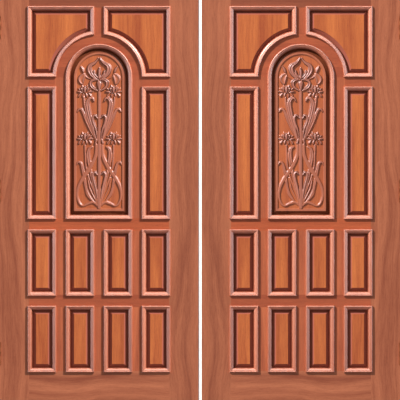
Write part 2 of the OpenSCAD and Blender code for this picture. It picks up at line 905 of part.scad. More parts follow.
module hinge_plates() {
    color(metal_colour)
        for (z = hinge_zs)
            hinge_frame(z)
                hinge_half(leaf_knuckles, jamb_knuckles);
}

module hinge_screws() {
    color(metal_colour)
        for (z = hinge_zs)
            hinge_frame(z)
                plate_screws()
                    screw_shape(leaf_screw_l, 0);
}

module jamb_hinge_plates() {
    color(metal_colour)
        both_sides()
            left()
                for (z = hinge_zs)
                    hinge_frame(z)
                        mirror([1, 0, 0])
                            hinge_half(jamb_knuckles, leaf_knuckles);
}

module jamb_hinge_screws() {
    color(metal_colour)
        both_sides()
            left()
                for (z = hinge_zs)
                    hinge_frame(z)
                        mirror([1, 0, 0])
                            plate_screws()
                                screw_shape(jamb_screw_l, 0);
}

module hinge_pins() {
    color(metal_colour)
        both_sides()
            left()
                for (z = hinge_zs)
                    hinge_frame(z) {
                        cylinder(h = hinge_h, d = pin_d);
                        translate([0, 0, hinge_h])
                            cylinder(h = button_h, r1 = barrel_r, r2 = pin_d / 2);
                        translate([0, 0, -button_h])
                            cylinder(h = button_h, r1 = pin_d / 2, r2 = barrel_r);
                    }
}

// Frame

// Section of the head in y and z: rabbet at the front, stop at the back
module head_section() {
    stop_z = head_z - stop_h;
    difference() {
        polygon([
            [0, head_top], [0, head_z + ease], [ease, head_z], [rabbet_d, head_z], [rabbet_d, stop_z],
            [jamb_d - ease, stop_z], [jamb_d, stop_z + ease], [jamb_d, head_top]
        ]);
        translate([rabbet_d - CUT, head_z - kerf_set - kerf_w])
            square([kerf_d + CUT, kerf_w]);
    }
}

module head_jamb() {
    color(rail_colour)
        along_x(-rabbet_x - housing_d, rabbet_x + housing_d)
            head_section();
}

// The left jamb, housed for the head, kerfed for its seal, and let in for the hinges
module jamb() {
    color(stile_colour)
        difference() {
            linear_extrude(head_top)
                polygon([
                    [-outer_x, 0], [-rabbet_x - ease, 0], [-rabbet_x, ease], [-rabbet_x, rabbet_d],
                    [-stop_x, rabbet_d], [-stop_x, jamb_d - ease], [-stop_x - ease, jamb_d], [-outer_x, jamb_d]
                ]);
            along_x(-rabbet_x - housing_d, -stop_x + CUT)
                polygon([
                    [-CUT, head_top + CUT], [-CUT, head_z], [rabbet_d, head_z], [rabbet_d, head_z - stop_h],
                    [jamb_d + CUT, head_z - stop_h], [jamb_d + CUT, head_top + CUT]
                ]);
            translate([-rabbet_x + kerf_set, rabbet_d - CUT, -CUT])
                cube([kerf_w, kerf_d + CUT, head_top]);
            for (i = [0 : fixing_count - 1])
                translate([-outer_x - CUT, fixing_y, fixing_low + i * fixing_pitch])
                    rotate([0, 90, 0])
                        cylinder(h = jamb_t + stop_h + 2 * CUT, d = fixing_d);
            left()
                for (z = hinge_zs) {
                    translate([-leaf_gap - plate_t, -CUT, z])
                        cube([plate_t + CUT, plate_w + CUT, hinge_h]);
                    hinge_frame(z)
                        mirror([1, 0, 0])
                            plate_screws()
                                cylinder(h = jamb_screw_l + screw_fit, d = screw_d + 2 * screw_fit);
                }
        }
}

// Section of a bulb seal: the bulb at the origin, its leg along +Y into the slot
module seal_section() {
    circle(seal_r);
    seal_leg();
}

module seal_leg() {
    translate([-kerf_w / 2 + seal_fit, 0])
        square([kerf_w - 2 * seal_fit, seal_gap / 2 + kerf_d - seal_fit]);
}

// The bulb of a jamb's seal runs up to the head's seal, and its leg ends under the head's stop
module jamb_seal() {
    bulb_top = head_z - kerf_mid - seal_r - seal_fit;
    leg_top = head_z - stop_h - seal_fit;
    color(seal_colour)
        translate([-rabbet_x + kerf_mid, leaf_t + seal_gap / 2, plate_top]) {
            linear_extrude(bulb_top - plate_top)
                circle(seal_r);
            linear_extrude(leg_top - plate_top)
                seal_leg();
        }
}

module head_seal() {
    color(seal_colour)
        translate([0, leaf_t + seal_gap / 2, head_z - kerf_mid])
            rotate([0, 90, 0])
                linear_extrude(2 * (rabbet_x - kerf_mid - seal_r), center = true)
                    seal_section();
}

// The stops of both jambs stand in notches of the sill and the threshold
module notched() {
    difference() {
        children();
        both_sides()
            translate([-rabbet_x - CUT, rabbet_d, -CUT])
                cube([stop_h + CUT, jamb_d, head_z]);
    }
}

module sill() {
    color(stile_colour)
        notched()
            along_x(-rabbet_x, rabbet_x)
                polygon([
                    [-sill_reach, 0], [-sill_reach, sill_edge], [0, sill_h], [jamb_d, sill_h], [jamb_d, 0]
                ]);
}

module threshold() {
    top = leaf_z + upstand_lap;
    back = jamb_d - threshold_set;
    upstand_back = rabbet_d + upstand_t;
    color(sill_metal_colour)
        notched()
            along_x(-rabbet_x, rabbet_x)
                difference() {
                    polygon([
                        [0, sill_h], [threshold_t / 2, plate_top], [rabbet_d, plate_top],
                        [rabbet_d, top - ease], [rabbet_d + ease, top], [upstand_back - ease, top],
                        [upstand_back, top - ease], [upstand_back, plate_top],
                        [back - threshold_t / 2, plate_top], [back, sill_h]
                    ]);
                    translate([rabbet_d - CUT, leaf_z + upstand_lap / 2 - kerf_w / 2])
                        square([kerf_d + CUT, kerf_w]);
                }
}

module threshold_seal() {
    color(seal_colour)
        translate([0, leaf_t + seal_gap / 2, leaf_z + upstand_lap / 2])
            rotate([0, 90, 0])
                linear_extrude(2 * (stop_x - seal_fit), center = true)
                    seal_section();
}

// A finned sweep under a leaf
module sweep() {
    base_w = leaf_t - 2 * sweep_set;
    fins = 4;
    fin_pitch = (base_w - sweep_t) / (fins - 1);
    color(seal_colour)
        along_x(0, leaf_w)
            union() {
                translate([sweep_set, -sweep_t])
                    square([base_w, sweep_t]);
                for (i = [0 : fins - 1])
                    translate([sweep_set + i * fin_pitch, sweep_gap - bottom_gap])
                        square([sweep_t, bottom_gap - sweep_gap]);
            }
}

// The white strip that closes the gap between the leaves
module astragal() {
    bulb_y = astragal_set + bulb_set;
    color(white_colour)
        translate([leaf_w, 0, 0])
            linear_extrude(leaf_h)
                difference() {
                    polygon([
                        [0, astragal_set], [astragal_t - ease, astragal_set], [astragal_t, astragal_set + ease],
                        [astragal_t, leaf_t - astragal_set - ease], [astragal_t - ease, leaf_t - astragal_set],
                        [0, leaf_t - astragal_set]
                    ]);
                    translate([astragal_t - astragal_slot_d, bulb_y - astragal_slot_w / 2])
                        square([astragal_slot_d + CUT, astragal_slot_w]);
                }
}

module astragal_seal() {
    color(white_colour)
        translate([leaf_w + astragal_t + seal_fit + bulb_r, astragal_set + bulb_set, 0])
            linear_extrude(leaf_h) {
                circle(bulb_r);
                translate([-bulb_r - astragal_slot_d, seal_fit - astragal_slot_w / 2])
                    square([bulb_r + astragal_slot_d, astragal_slot_w - 2 * seal_fit]);
            }
}

jamb();  // left_jamb
mirror([1, 0, 0]) jamb();  // right_jamb
head_jamb();
sill();
threshold();
jamb_seal();  // left_seal
mirror([1, 0, 0]) jamb_seal();  // right_seal
head_seal();
threshold_seal();
jamb_hinge_plates();
hinge_pins();
jamb_hinge_screws();
right() astragal();
right() astragal_seal();

left() hinge_stile();  // left_hinge_stile
left() meeting_stile();  // left_meeting_stile
left() top_rail();  // left_top_rail
left() mid_rail();  // left_mid_rail
left() cross_rail();  // left_cross_rail
left() bottom_rail();  // left_bottom_rail
left() arch_rail();  // left_arch_rail
left() short_rails();  // left_short_rails
left() top_mullion();  // left_top_mullion
left() upper_mullions();  // left_upper_mullions
left() lower_mullions();  // left_lower_mullions
left() corner_panels();  // left_corner_panels
left() side_panels();  // left_side_panels
left() carved_panel();  // left_carved_panel
left() lower_panels();  // left_lower_panels
left() corner_mouldings();  // left_corner_mouldings
left() side_mouldings();  // left_side_mouldings
left() arch_mouldings();  // left_arch_mouldings
left() lower_mouldings();  // left_lower_mouldings
left() dowels();  // left_dowels
left() hinge_plates();  // left_hinge_plates
left() hinge_screws();  // left_hinge_screws
left() sweep();  // left_sweep

right() hinge_stile();  // right_hinge_stile
right() meeting_stile();  // right_meeting_stile
right() top_rail();  // right_top_rail
right() mid_rail();  // right_mid_rail
right() cross_rail();  // right_cross_rail
right() bottom_rail();  // right_bottom_rail
right() arch_rail();  // right_arch_rail
right() short_rails();  // right_short_rails
right() top_mullion();  // right_top_mullion
right() upper_mullions();  // right_upper_mullions
right() lower_mullions();  // right_lower_mullions
right() corner_panels();  // right_corner_panels
right() side_panels();  // right_side_panels
right() carved_panel();  // right_carved_panel
right() lower_panels();  // right_lower_panels
right() corner_mouldings();  // right_corner_mouldings
right() side_mouldings();  // right_side_mouldings
right() arch_mouldings();  // right_arch_mouldings
right() lower_mouldings();  // right_lower_mouldings
right() dowels();  // right_dowels
right() hinge_plates();  // right_hinge_plates
right() hinge_screws();  // right_hinge_screws
right() sweep();  // right_sweep
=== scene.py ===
# %% [markdown]
# A pair of carved hardwood entrance doors, dressed for a picture.
# The joinery (stiles, rails, panels, mouldings, frame and hinges) comes as finished solids.
# It could be modelled again here, but the solids already fit each other and swing on their hinges.
# So this lesson adds only what they lack: the fine carving, the grain of the wood and the light.

# %% Load the joinery
import json
import math

import bpy
import numpy as np
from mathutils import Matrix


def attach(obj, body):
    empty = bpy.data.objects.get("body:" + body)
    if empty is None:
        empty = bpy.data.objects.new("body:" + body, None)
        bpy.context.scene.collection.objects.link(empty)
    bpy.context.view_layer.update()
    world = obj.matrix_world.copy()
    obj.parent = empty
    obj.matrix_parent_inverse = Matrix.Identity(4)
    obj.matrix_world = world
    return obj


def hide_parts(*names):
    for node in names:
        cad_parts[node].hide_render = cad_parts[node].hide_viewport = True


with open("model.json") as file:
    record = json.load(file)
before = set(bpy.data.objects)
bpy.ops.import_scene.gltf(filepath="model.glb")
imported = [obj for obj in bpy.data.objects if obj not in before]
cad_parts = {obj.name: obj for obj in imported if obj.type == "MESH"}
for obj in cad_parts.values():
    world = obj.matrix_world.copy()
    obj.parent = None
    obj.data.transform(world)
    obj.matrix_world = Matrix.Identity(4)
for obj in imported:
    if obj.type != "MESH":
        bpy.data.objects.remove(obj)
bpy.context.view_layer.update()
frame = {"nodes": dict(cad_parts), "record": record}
joinery = frame["nodes"]
MM = 0.001
print("joinery pieces:", len(joinery))


# %% [markdown]
# The picture is taken straight at the doors from far away, so the lines of the rails stay level.
# A camera without perspective would do that too, but a long lens keeps a trace of depth.
# The camera's distance follows from the width that the picture shows at the doors.

# %% Camera
PICTURE_WIDTH = 1.8405
PICTURE_MIDDLE = 1.0458
LENS = 150
SENSOR = 36
UPRIGHT = (math.pi / 2, 0, 0)

bpy.ops.object.camera_add(
    location=(0, -PICTURE_WIDTH * LENS / SENSOR, PICTURE_MIDDLE),
    rotation=UPRIGHT,
)
camera = bpy.context.object
camera.name = "straight_view"
camera.data.lens = LENS
camera.data.sensor_width = SENSOR
bpy.context.scene.camera = camera
bpy.context.scene.view_settings.view_transform = "Standard"
print("camera distance:", round(-camera.location.y, 3))


# %% [markdown]
# The carved panel is the showpiece of each leaf. The joiner first makes a plain arched panel with
# a bevelled edge and sinks a shallow ground into it, then a carver works the iris out of the ground.
# The sizes follow that order: from the panel's outline over the tongue, the bevel and the rim to the
# ground. The ground's own size is what those steps leave.

# %% Sizes of the carved panel
LEAF_MIDDLE = 0.4645
LEAF_CORE = 0.022
SPRING = 1.610
ARCH = 0.157
DROP = 0.657
ARCH_POINTS = 128
TONGUE = 0.0078
FLAT_EDGE = 0.025
BEVEL_WIDTH = 0.017
BEVEL_RISE = 0.0112
SHOULDER = 0.0015
RIM = 0.008
GROUND_DEPTH = 0.004
POCKET = 0.001
POCKET_SLOPE = 0.006

EDGE = FLAT_EDGE + BEVEL_WIDTH + RIM
GROUND_R = ARCH - EDGE
GROUND_LOW = EDGE - DROP
GROUND_Y = LEAF_CORE - TONGUE - BEVEL_RISE - SHOULDER + GROUND_DEPTH
print("ground:", round(2 * GROUND_R, 3), "wide and", round(GROUND_R - GROUND_LOW, 3), "tall")


# %% [markdown]
# The plain panel could be a curve with a bevel, but then its steps would be hard to set one by one.
# Here it is modelled the joiner's way. Half a disc is pulled down into an arch and given the
# tongue's thickness. Each face is then inset, raised along the bevel and given a small shoulder, and
# the front gets its sunk pocket.

# %% Helpers for edit mode
FACING = 0.9
CLOSE = 1e-5


def clear_selection():
    if bpy.context.object and bpy.context.object.mode != "OBJECT":
        bpy.ops.object.mode_set(mode="OBJECT")
    bpy.ops.object.select_all(action="DESELECT")


def pick_faces(piece, test):
    """In edit mode, selects the faces whose normal passes the test."""
    bpy.ops.mesh.select_all(action="DESELECT")
    bpy.ops.object.mode_set(mode="OBJECT")
    for face in piece.data.polygons:
        face.select = test(face.normal)
    bpy.ops.object.mode_set(mode="EDIT")


def pick_level_edges(piece, level):
    """In edit mode, selects the edges that lie at the given height."""
    bpy.ops.mesh.select_all(action="DESELECT")
    bpy.ops.object.mode_set(mode="OBJECT")
    points = piece.data.vertices
    for edge in piece.data.edges:
        edge.select = all(abs(points[i].co.z - level) < CLOSE for i in edge.vertices)
    bpy.ops.object.mode_set(mode="EDIT")


def extrude(move):
    bpy.ops.mesh.extrude_region_move(TRANSFORM_OT_translate={"value": move})


clear_selection()
print("selected before modelling:", len(bpy.context.selected_objects))


# %% The arched board
def arched_board(name, middle):
    """An arched board of the tongue's thickness, upright in the core of a leaf."""
    clear_selection()
    bpy.ops.mesh.primitive_circle_add(
        vertices=ARCH_POINTS, radius=ARCH, fill_type="NGON",
        location=(middle, LEAF_CORE + TONGUE, SPRING), rotation=UPRIGHT,
    )
    board = bpy.context.object
    board.name = board.data.name = name
    bpy.ops.object.transform_apply(location=True, rotation=True, scale=True)
    bpy.ops.object.mode_set(mode="EDIT")
    bpy.ops.mesh.select_mode(type="EDGE")
    bpy.ops.mesh.select_all(action="SELECT")
    bpy.ops.mesh.bisect(plane_co=(middle, 0, SPRING), plane_no=(0, 0, 1), clear_inner=True)
    pick_level_edges(board, SPRING)
    bpy.ops.mesh.extrude_edges_move(TRANSFORM_OT_translate={"value": (0, 0, -DROP)})
    bpy.ops.mesh.select_mode(type="FACE")
    bpy.ops.mesh.select_all(action="SELECT")
    bpy.ops.mesh.normals_make_consistent(inside=False)
    bpy.ops.mesh.dissolve_faces()
    bpy.ops.mesh.select_all(action="SELECT")
    extrude((0, -2 * TONGUE, 0))
    bpy.ops.mesh.select_all(action="SELECT")
    bpy.ops.mesh.normals_make_consistent(inside=False)
    bpy.ops.object.mode_set(mode="OBJECT")
    print(name, "board faces:", len(board.data.polygons))
    return board


# %% The bevelled panel with its sunk ground
def arched_panel(name, middle):
    panel = arched_board(name, middle)
    bpy.ops.object.mode_set(mode="EDIT")
    for side in (-1, 1):
        pick_faces(panel, lambda normal: normal.y * side > FACING)
        bpy.ops.mesh.inset(thickness=FLAT_EDGE, depth=0)
        bpy.ops.mesh.inset(thickness=BEVEL_WIDTH, depth=BEVEL_RISE)
        extrude((0, side * SHOULDER, 0))
        if side < 0:
            bpy.ops.mesh.inset(thickness=RIM, depth=0)
            bpy.ops.mesh.inset(thickness=POCKET_SLOPE, depth=-GROUND_DEPTH - POCKET)
    bpy.ops.object.mode_set(mode="OBJECT")
    print(name, "panel faces:", len(panel.data.polygons))
    return panel


# %% [markdown]
# Carving is hard to get from extrusions, because every stem and leaf swells, thins and dives under
# its neighbour. Sculpting with a brush would do, but a script can't repeat a hand's movements.
# So a fine sheet lies on the ground of the panel, and each stroke of the ornament pushes it up.
# A stroke is a smooth line through a few points, each with its own width.

# %% The line of a stroke
LINE_STEP = 0.7


def smooth_line(points):
    """Points about one step apart on the curve, cubic between knots, that passes through the knots."""
    knots = np.array(points, float)
    line = []
    for i in range(len(knots) - 1):
        before, here = knots[max(i - 1, 0)], knots[i]
        there, after = knots[i + 1], knots[min(i + 2, len(knots) - 1)]
        count = max(int(np.hypot(*(there - here)[:2]) / LINE_STEP), 2)
        t = np.linspace(0, 1, count, endpoint=False)[:, None]
        bend = 2 * before - 5 * here + 4 * there - after
        twist = 3 * (here - there) + after - before
        line.append(here + t / 2 * (there - before + t * (bend + t * twist)))
    line.append(knots[-1:])
    return np.vstack(line)


print("points on a line of 70 mm:", len(smooth_line([(0, 0, 1), (0, 70, 1)])))


# %% [markdown]
# A carver cuts each form with another gouge. Stalks, buds and small hooks are round, the bud's leaf
# and the fallen petal hollow, blades ridged, and leaves grooved along the middle. Small petals have
# a thin cut border, and the wide loop and the main stem are flat on top. Curves with a bevel shape
# could give such sections too, but not let one stroke cut into another. A section gives the height at
# a share u of the way from the middle of the stroke to its side, as a share of the full height.

# %% Sections of the strokes
ROUND_POWER = 2.6
HOLLOW_LIP = 0.22
HOLLOW_FLOOR = 0.5
HOLLOW_REACH = 0.75
HOLLOW_POWER = 1.6
RIDGE_LIP = 0.2
RIDGE_FALL = 0.5
GROOVE_DEPTH = 0.42
GROOVE_WIDTH = 0.24
PETAL_WIDTH = 0.8
PETAL_FALL = 0.25
FLAT_LIP = 0.3


def lip(u, width):
    """A rounded edge of the given width, on a section that is otherwise level."""
    return np.sqrt(np.clip((1 - u) / width, 0, 1))


def rounded(u):
    return np.sqrt(np.clip(1 - u ** ROUND_POWER, 0, 1))


def hollow(u):
    rise = np.clip(u / HOLLOW_REACH, 0, 1) ** HOLLOW_POWER
    return lip(u, HOLLOW_LIP) * (HOLLOW_FLOOR + (1 - HOLLOW_FLOOR) * rise)


def ridged(u):
    return lip(u, RIDGE_LIP) * (1 - RIDGE_FALL * np.clip(u, 0, 1))


def grooved(u):
    return rounded(u) * (1 - GROOVE_DEPTH * np.exp(-((u / GROOVE_WIDTH) ** 2)))


def outlined(u):
    return rounded(np.minimum(u / PETAL_WIDTH, 1)) * (1 - PETAL_FALL * np.minimum(u, 1))


def flat(u):
    return lip(u, FLAT_LIP)


for section in (rounded, hollow, ridged, grooved, outlined, flat):
    print(section.__name__, "section:", np.round(section(np.linspace(0, 1, 5)), 2))


# %% [markdown]
# Where a stroke crosses an earlier one, the carver first cuts the earlier one down, so that the later
# one stands clear. Adding the heights up would make lumps there, and taking the higher one would
# melt them together. So a stroke replaces what was under it, down to a low floor at its sides.

# %% One stroke
CUT_FLOOR = 1.2
PAIRS_AT_ONCE = 4000000


def carve(height, x, z, top, section, points):
    """Pushes the sheet up along one stroke, which cuts a groove where it crosses an earlier one."""
    line = smooth_line(points)
    reach = line[:, 2].max() / 2
    low = line[:, :2].min(0) - reach
    high = line[:, :2].max(0) + reach
    near = np.where((x > low[0]) & (x < high[0]) & (z > low[1]) & (z < high[1]))[0]
    for part in np.array_split(near, max(len(near) * len(line) // PAIRS_AT_ONCE, 1)):
        away = np.hypot(x[part, None] - line[None, :, 0], z[part, None] - line[None, :, 1])
        u = (away / (line[None, :, 2] / 2)).min(1)
        raised = np.maximum(top * section(u), np.minimum(height[part], CUT_FLOOR))
        height[part] = np.where(u < 1, raised, height[part])


print("floor of the cuts, mm:", CUT_FLOOR)


# %% [markdown]
# The ornament grows from the foot of the panel: blades and leaves, two wide loops, two pairs of flower
# clusters on stalks, and at the top an iris between two buds. One half mirrors the other, so only one
# half is drawn. It could be one large outline, but strokes with names are easier to change.
# A stroke has its height, its section and its points, in millimetres: the distance from the panel's
# middle line, the height over the line where the arch starts, and the width there.

# %% Strokes of the lower half
LOWER_LEAVES = {
    "inner blade": (5.5, ridged, [(38, -435, 3), (34, -465, 8), (28, -494, 9), (6, -580, 5)]),
    "middle blade": (5.5, ridged, [(54, -461, 3), (48, -490, 8), (41, -517, 9), (8, -582, 5)]),
    "outer blade": (5.5, ridged, [(69, -496, 3), (62, -522, 8), (52, -547, 9), (14, -588, 5)]),
    "long leaf": (6.5, grooved, [
        (32, -320, 6), (46, -330, 15), (50, -355, 20), (47, -385, 20),
        (40, -430, 15), (25, -500, 11), (6, -580, 6),
    ]),
    "hooked leaf": (6.0, grooved, [
        (104, -402, 6), (97, -391, 9), (84, -396, 12), (76, -423, 15),
        (72, -444, 15), (57, -522, 11), (25, -575, 6),
    ]),
    "small hook": (7.5, rounded, [
        (10, -448, 6), (19, -436, 10), (29, -447, 13), (26, -470, 13), (14, -517, 11), (5, -575, 6),
    ]),
    "flower stalk": (5.0, rounded, [
        (66, -312, 8), (64, -361, 9), (60, -416, 9), (43, -476, 8), (4, -582, 6),
    ]),
    "wide loop": (4.5, flat, [
        (13, -312, 14), (16, -359, 17), (34, -402, 19), (57, -438, 19), (80, -473, 17), (97, -511, 15),
        (101, -547, 13), (90, -580, 11), (73, -591, 10), (52, -582, 12), (27, -575, 14), (6, -592, 9),
    ]),
}
print("strokes in the lower half:", len(LOWER_LEAVES))


# %% Strokes of the upper half
UPPER_LEAVES = {
    "hooked leaf": (6.5, grooved, [
        (101, -158, 6), (91, -146, 10), (78, -152, 13), (60, -196, 15), (42, -238, 12), (18, -285, 6),
    ]),
    "flower stalk": (5.5, rounded, [
        (71, -90, 9), (68, -122, 10), (60, -162, 10), (50, -201, 10), (34, -238, 10), (16, -287, 9),
    ]),
    "long leaf": (7.5, grooved, [
        (24, -110, 6), (30, -97, 10), (43, -97, 15), (53, -115, 21),
        (51, -140, 22), (44, -175, 19), (34, -215, 14), (16, -280, 6),
    ]),
    "small hook": (8.0, rounded, [
        (9, -188, 6), (18, -175, 10), (29, -183, 13), (28, -206, 13), (15, -241, 10), (8, -285, 6),
    ]),
    "knot": (7.0, rounded, [(12, -286, 11), (17, -304, 10)]),
}
IRIS = {
    "bud stalk": (4.5, rounded, [(3, -13, 5), (30, -10, 5), (52, -2, 5), (66, 10, 5), (72, 24, 6)]),
    "bud": (6.5, rounded, [(71, 22, 7), (76, 36, 14), (84, 50, 5)]),
    "bud leaf": (6.5, hollow, [(66, 14, 6), (76, 4, 26), (82, -8, 32), (80, -22, 20), (74, -30, 5)]),
    "tall petal": (8.5, grooved, [
        (4, 88, 5), (18, 69, 12), (40, 54, 20), (45, 36, 26), (37, 15, 20), (20, -4, 12), (4, -13, 6),
    ]),
    "inner petal": (8.0, rounded, [(24, 29, 8), (21, 14, 11), (12, 4, 10), (3, -5, 6)]),
    "fallen petal": (9.0, hollow, [
        (5, -12, 6), (25, -11, 11), (38, -22, 13), (35, -40, 13), (20, -54, 10), (5, -62, 5),
    ]),
}
MIDDLE_LINE = {
    "heart": (9.5, rounded, [(0, 44, 4), (0, 25, 14), (0, 8, 14), (0, -6, 7)]),
    "stem": (5.0, flat, [(0, -56, 13), (0, -240, 15), (0, -420, 16), (0, -600, 17)]),
    "tongue": (8.5, rounded, [(0, -28, 26), (0, -42, 18), (0, -58, 8)]),
}
print("strokes in the upper half:", len(UPPER_LEAVES) + len(IRIS) + len(MIDDLE_LINE))


# %% [markdown]
# A flower cluster is a fan of petals over a row of small knobs. Each petal could be a stroke with
# points of its own, but the petals of a ring differ only in how far they lean, so a loop turns one
# petal to each lean. The petals at the back are cut first and the front ones over them.

# %% Flower clusters
FLOWERS = ((66, -70), (66, -287))
PETAL_RINGS = (
    {"leans": (-58, 58, -20, 20), "near": 14, "far": 37, "wide": 14, "top": 6.0},
    {"leans": (-82, 82), "near": 8, "far": 39, "wide": 15, "top": 7.0},
    {"leans": (-40, 40, 0), "near": 0, "far": 30, "wide": 20, "top": 9.0},
)
FOOT_SHARE = 1 / 2
TIP_SHARE = 1 / 5
KNOBS = (-27, -9, 9, 27)
KNOB_TOP = 6.0
KNOB_LINE = ((0.7, -4, 7), (1.0, -14, 13), (1.0, -19, 8))


def carve_flower(height, x, z, at_x, at_z):
    for ring in PETAL_RINGS:
        near, far, wide = ring["near"], ring["far"], ring["wide"]
        along = ((near, wide * FOOT_SHARE), ((near + far) / 2, wide), (far, wide * TIP_SHARE))
        for lean in ring["leans"]:
            aside, up = math.sin(math.radians(lean)), math.cos(math.radians(lean))
            petal = [(at_x + aside * r, at_z + up * r, width) for r, width in along]
            carve(height, x, z, ring["top"], outlined, petal)
    for aside in KNOBS:
        knob = [(at_x + aside * share, at_z + up, width) for share, up, width in KNOB_LINE]
        carve(height, x, z, KNOB_TOP, outlined, knob)


def ornament(x, z):
    """The height of the carving at each point of one half, in millimetres."""
    height = np.zeros_like(x)
    for stroke in (*LOWER_LEAVES.values(), *UPPER_LEAVES.values(), *IRIS.values()):
        carve(height, x, z, *stroke)
    for at_x, at_z in FLOWERS:
        carve_flower(height, x, z, at_x, at_z)
    for stroke in MIDDLE_LINE.values():
        carve(height, x, z, *stroke)
    return height


print("petals in a cluster:", sum(len(ring["leans"]) for ring in PETAL_RINGS))


# %% [markdown]
# The sheet that takes the strokes is a fine grid. It is a little larger than the ground, so that its
# edge hides inside the rim. A Displace modifier could lift it, but that needs a picture of heights,
# and the strokes give the heights directly. Some rounds of smoothing, only towards the front and the
# back, take off the steps that a grid leaves on slanting edges.

# %% The carved sheet
SHEET_STEP = 1.35
SHEET_MARGIN = 2.0
SMOOTHING = 0.5
SMOOTH_ROUNDS = 4


def plain_sheet(name, middle):
    wide = 2 * (GROUND_R / MM + SHEET_MARGIN)
    tall = GROUND_R / MM - GROUND_LOW / MM + 2 * SHEET_MARGIN
    clear_selection()
    bpy.ops.mesh.primitive_grid_add(
        x_subdivisions=round(wide / SHEET_STEP), y_subdivisions=round(tall / SHEET_STEP), size=1,
        location=(middle, GROUND_Y, SPRING + (GROUND_R + GROUND_LOW) / 2), rotation=UPRIGHT,
    )
    sheet = bpy.context.object
    sheet.name = sheet.data.name = name
    sheet.scale = (wide * MM, tall * MM, 1)
    bpy.ops.object.transform_apply(location=True, rotation=True, scale=True)
    return sheet


def carved_sheet(name, middle):
    sheet = plain_sheet(name, middle)
    spots = np.zeros(len(sheet.data.vertices) * 3)
    sheet.data.vertices.foreach_get("co", spots)
    spots = spots.reshape(-1, 3)
    x = np.abs(spots[:, 0] - middle) / MM
    z = (spots[:, 2] - SPRING) / MM
    height = ornament(x, z)
    spots[:, 1] = GROUND_Y - height * MM
    sheet.data.vertices.foreach_set("co", spots.ravel())
    sheet.data.update()
    outside = np.where(z > 0, np.hypot(x, z), x) > GROUND_R / MM + SHEET_MARGIN
    bpy.ops.object.mode_set(mode="EDIT")
    bpy.ops.mesh.select_mode(type="VERT")
    bpy.ops.mesh.select_all(action="DESELECT")
    bpy.ops.object.mode_set(mode="OBJECT")
    sheet.data.vertices.foreach_set("select", outside)
    bpy.ops.object.mode_set(mode="EDIT")
    bpy.ops.mesh.delete(type="VERT")
    bpy.ops.mesh.select_all(action="SELECT")
    bpy.ops.mesh.vertices_smooth(factor=SMOOTHING, repeat=SMOOTH_ROUNDS, xaxis=False, zaxis=False)
    bpy.ops.object.mode_set(mode="OBJECT")
    print(name, "highest relief, mm:", round(float(height.max()), 1))
    return sheet


# %% [markdown]
# On the real door, panel and ornament are one piece of wood, so the sheet is joined to the panel.
# A boolean union would weld them, but it is slow on a fine grid and the seam is hidden anyway.
# The piece then rides on its leaf and stands for the coarser panel among the solids.

# %% Both carved panels
CREASE = math.radians(35)


def carved_panel(side, middle):
    panel = arched_panel(side + "_carving", middle)
    sheet = carved_sheet(side + "_sheet", middle)
    clear_selection()
    sheet.select_set(True)
    panel.select_set(True)
    bpy.context.view_layer.objects.active = panel
    bpy.ops.object.join()
    bpy.ops.object.shade_smooth_by_angle(angle=CREASE)
    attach(panel, side + "_leaf")
    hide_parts(side + "_carved_panel")
    print(panel.name, "faces:", len(panel.data.polygons))
    return panel


carvings = {
    "left": carved_panel("left", -LEAF_MIDDLE),
    "right": carved_panel("right", LEAF_MIDDLE),
}


# %% [markdown]
# Every finish on the doors is a small net of shader nodes. It could be wired by hand in the shader
# editor, but twenty woods share most of their wiring. So a small desk adds a node, fills its sockets
# with values or links, and hands back its output.

# %% A desk for wiring a finish
NOISE_LOW = 0.3
NOISE_HIGH = 0.7


class Finish:
    """A small desk for wiring one material."""

    def __init__(self, name):
        self.material = bpy.data.materials.new(name)
        self.material.use_nodes = True
        self.tree = self.material.node_tree
        self.surface = self.tree.nodes["Principled BSDF"]

    def node(self, kind, settings=None, **inputs):
        """Adds a node. An input is named, or numbered as i0, i1 and so on."""
        made = self.tree.nodes.new("ShaderNode" + kind)
        for key, value in (settings or {}).items():
            setattr(made, key, value)
        for key, value in inputs.items():
            numbered = key[0] == "i" and key[1:].isdigit()
            socket = made.inputs[int(key[1:]) if numbered else key]
            if isinstance(value, bpy.types.NodeSocket):
                self.tree.links.new(value, socket)
            else:
                socket.default_value = value
        return made

    def link(self, source, socket):
        self.tree.links.new(source, self.surface.inputs[socket])

    def vector(self, operation, first, second=(0, 0, 0)):
        return self.node("VectorMath", {"operation": operation}, i0=first, i1=second).outputs[0]

    def math(self, operation, first, second=0.0):
        return self.node("Math", {"operation": operation}, i0=first, i1=second).outputs[0]

    def noise(self, where, scale, detail=3.0, distortion=0.0):
        made = self.node("TexNoise", {}, Vector=where, Scale=scale, Detail=detail, Distortion=distortion)
        return made.outputs["Fac"]

    def part(self, vector, axis):
        return self.node("SeparateXYZ", {}, Vector=vector).outputs[axis]

    def fade(self, amount, first, last, start, end):
        """Goes softly from start to end while the amount goes from first to last."""
        return self.node("MapRange", {"interpolation_type": "SMOOTHSTEP"}, Value=amount,
                         i1=first, i2=last, i3=start, i4=end).outputs[0]

    def spread(self, noise, start, end):
        """Goes evenly from start to end over the middle of a noise."""
        return self.node("MapRange", {}, Value=noise,
                         i1=NOISE_LOW, i2=NOISE_HIGH, i3=start, i4=end).outputs[0]

    def ramp(self, amount, stops):
        made = self.node("ValToRGB", {}, Fac=amount)
        line = made.color_ramp
        while len(line.elements) < len(stops):
            line.elements.new(0.5)
        for element, (place, colour) in zip(line.elements, stops):
            element.position = place
            element.color = colour
        return made.outputs["Color"]

    def mix(self, kind, amount, first, second):
        settings = {"data_type": "RGBA", "blend_type": kind}
        return self.node("Mix", settings, i0=amount, i6=first, i7=second).outputs[2]

    def bumps(self, height, strength, depth):
        made = self.node("Bump", {}, Strength=strength, Distance=depth, Height=height)
        self.link(made.outputs[0], "Normal")


